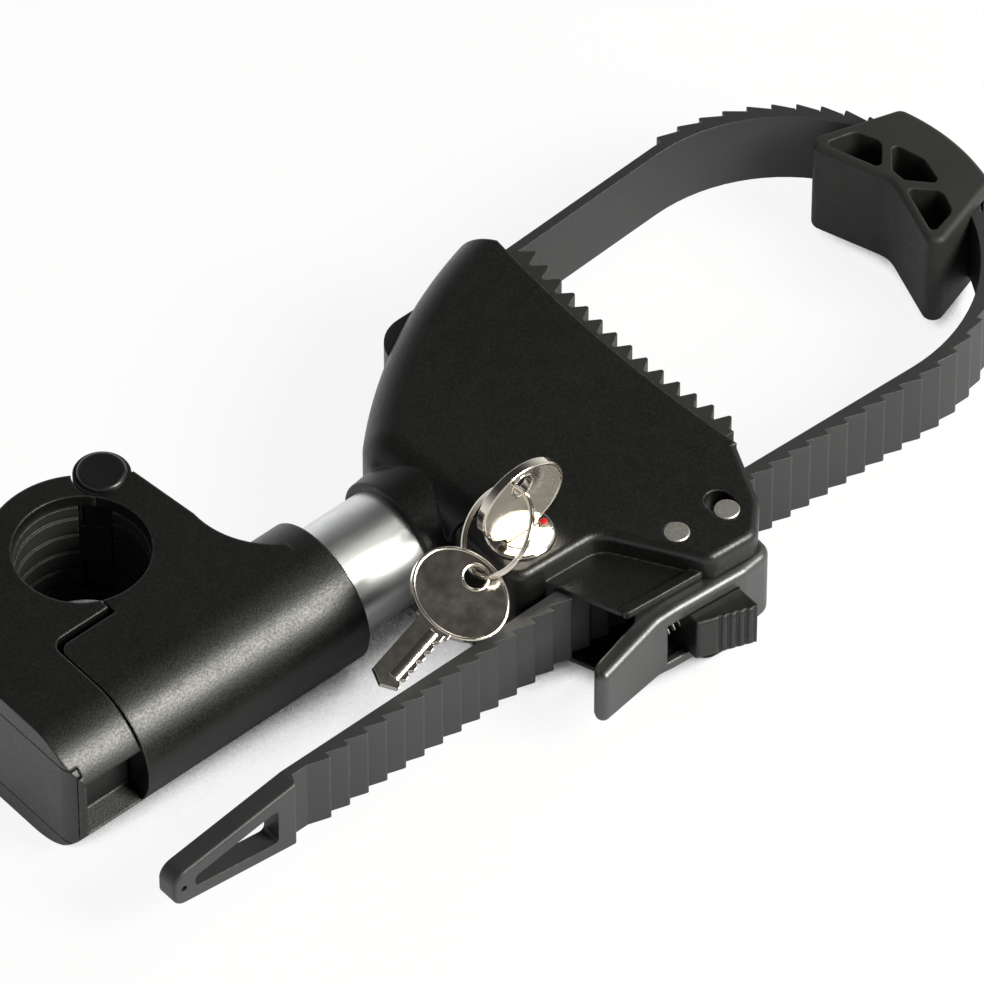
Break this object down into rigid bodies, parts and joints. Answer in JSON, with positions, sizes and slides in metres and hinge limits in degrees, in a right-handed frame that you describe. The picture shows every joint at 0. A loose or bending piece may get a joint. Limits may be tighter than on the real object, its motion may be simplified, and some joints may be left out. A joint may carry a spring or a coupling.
{
  "type": "bike carrier frame-holder arm",
  "caption": "Lockable frame-holder arm of a bike carrier: hinged tube clamp, short tube, toothed head, ladder strap with pad, ratchet lever and key lock.",
  "frame": {"origin": "centre of the rack tube's clamp bore, at mid height", "axes": "+Z along the clamp bore, towards the lock's face; +X along the arm, from clamp to strap loop"},
  "size_m": [0.2979, 0.1367, 0.0614],
  "materials": {
    "black_plastic": "satin moulded, fine grain",
    "strap_plastic": "smooth flexible moulding",
    "liner_rubber": "matt",
    "pad_rubber": "matt",
    "aluminium_tube": "bright drawn",
    "cap_paint": "black oxide",
    "steel": "zinc plated",
    "nickel": "nickel plated"
  },
  "bodies": {
    "arm": {"clamp_body": "black_plastic", "clamp_body_liner": "liner_rubber", "clamp_hinge_pin": "cap_paint", "clamp_nut": "steel", "arm_tube": "aluminium_tube", "socket_screw": "steel", "head_upper_shell": "black_plastic", "head_lower_shell": "black_plastic", "head_screws": "steel", "toothed_jaw_pad": "liner_rubber", "strap": "strap_plastic", "frame_pad": "pad_rubber", "lever_pivot_pin": "steel", "lock_barrel": "nickel"},
    "jaw": {"clamp_jaw": "black_plastic", "clamp_jaw_liner": "liner_rubber", "cover_pin": "steel"},
    "cover": {"clamp_cover": "black_plastic"},
    "screw": {"clamp_screw": "steel"},
    "lever": {"lever": "black_plastic", "lever_guide_pin": "steel", "lever_spring": "steel", "catch_spring": "steel"},
    "catch": {"lever_catch": "black_plastic"},
    "lock": {"lock_plug": "nickel", "lock_cam": "steel", "key_in_lock": "nickel", "key_ring": "nickel", "spare_key": "nickel"}
  },
  "joints": [
    {"name": "jaw_hinge", "type": "hinge", "parent": "arm", "child": "jaw", "pos_m": [0.01927, 0.01561, 0], "axis": [0, 0, 1], "range_deg": [-70, 0]},
    {"name": "cover_hinge", "type": "hinge", "parent": "jaw", "child": "cover", "pos_m": [-0.0424, -0.0186, 0], "axis": [0, 0, 1], "range_deg": [-85, 0]},
    {"name": "screw_drive", "type": "slide", "parent": "jaw", "child": "screw", "axis": [1, 0, 0], "range_m": [0, 0.0055]},
    {"name": "lever_pull", "type": "hinge", "parent": "arm", "child": "lever", "pos_m": [0.112, -0.09, 0], "axis": [0, 0, 1], "range_deg": [0, 14], "stiffness_Nm_per_rad": 0.6},
    {"name": "catch_slide", "type": "slide", "parent": "lever", "child": "catch", "axis": [-1, 0, 0], "range_m": [0, 0.006], "stiffness_N_per_m": 200, "deforming": ["catch_spring"]},
    {"name": "lock_turn", "type": "hinge", "parent": "arm", "child": "lock", "pos_m": [0.083, -0.0655, 0], "axis": [0, 0, 1], "range_deg": [0, 90]}
  ]
}
